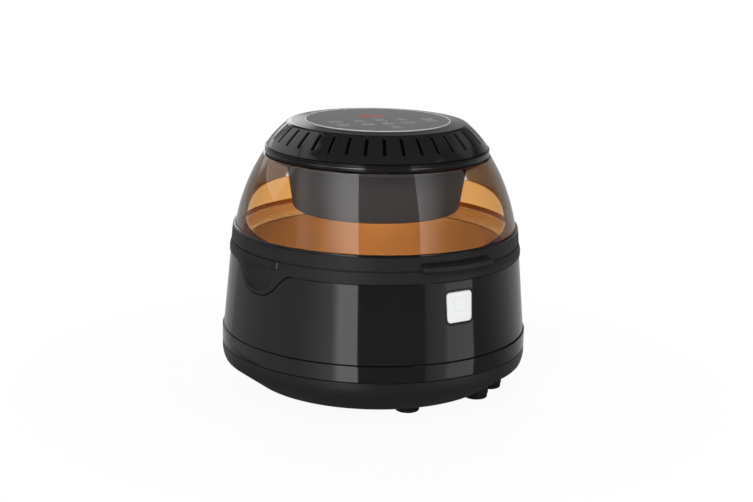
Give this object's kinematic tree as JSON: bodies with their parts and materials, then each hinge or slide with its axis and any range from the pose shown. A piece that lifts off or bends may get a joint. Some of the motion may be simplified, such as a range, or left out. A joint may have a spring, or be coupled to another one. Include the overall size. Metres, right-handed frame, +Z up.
{
  "type": "air fryer oven",
  "caption": "Round countertop air fryer oven with a deep pot and an amber glass dome lid that swings up on a rear hinge.",
  "frame": {"origin": "on the oven's round axis, at table height under the feet", "axes": "+Z up along the round axis, -Y towards the front with the release button and the lift tab, +Y towards the rear hinge, +X to the oven's left as it faces the user"},
  "size_m": [0.35, 0.35, 0.308],
  "materials": {
    "gloss_black": "polished black plastic",
    "satin_black": "satin black plastic",
    "foot_rubber": "matt rubber",
    "seal_rubber": "grey silicone",
    "button_silver": "silver white plastic",
    "bright_steel": "bright sheet steel",
    "dark_steel": "dark coated steel",
    "pot_steel": "satin stainless steel",
    "heater_enamel": "satin dark enamel",
    "amber_glass": "clear glass with an amber smoke tint",
    "panel_grey": "dark grey gloss",
    "board_green": "circuit board",
    "display_red": "red display window"
  },
  "bodies": {
    "body": {"base_pan": "satin_black", "foot_front": "foot_rubber", "foot_front_right": "foot_rubber", "foot_right": "foot_rubber", "foot_rear_right": "foot_rubber", "foot_rear_left": "foot_rubber", "foot_left": "foot_rubber", "lower_band": "gloss_black", "body_shell": "gloss_black", "collar": "satin_black", "inner_housing": "bright_steel", "cooking_pot": "pot_steel", "crisper_tray": "pot_steel", "button_bezel": "gloss_black", "hinge_bracket": "dark_steel", "hinge_pin": "bright_steel", "hinge_screw_left": "bright_steel", "hinge_screw_right": "bright_steel", "cord_gland": "foot_rubber"},
    "button": {"release_button": "button_silver", "latch_bolt": "dark_steel"},
    "lid": {"lid_ring": "satin_black", "latch_striker": "bright_steel", "lid_gasket": "seal_rubber", "glass_dome": "amber_glass", "heater_housing": "heater_enamel", "reflector": "bright_steel", "heater_grille": "dark_steel", "heating_element": "dark_steel", "temperature_probe": "bright_steel", "clamp_ring": "gloss_black", "vent_cap": "gloss_black", "touch_panel": "panel_grey", "control_board": "board_green", "display_module": "display_red", "motor_plate": "dark_steel", "fan_motor": "dark_steel"},
    "rotor": {"motor_shaft": "bright_steel", "cooling_fan": "panel_grey", "convection_fan": "bright_steel"}
  },
  "joints": [
    {"name": "lid_hinge", "type": "hinge", "parent": "body", "child": "lid", "pos_m": [0, 0.166, 0.172], "axis": [-1, 0, 0], "range_deg": [0, 80]},
    {"name": "button_press", "type": "slide", "parent": "body", "child": "button", "axis": [0, 1, 0], "range_m": [0, 0.003], "stiffness_N_per_m": 900, "springref_m": -0.002},
    {"name": "fan_spin", "type": "hinge", "parent": "lid", "child": "rotor", "pos_m": [0, 0, 0.272], "axis": [0, 0, 1], "continuous": true}
  ]
}
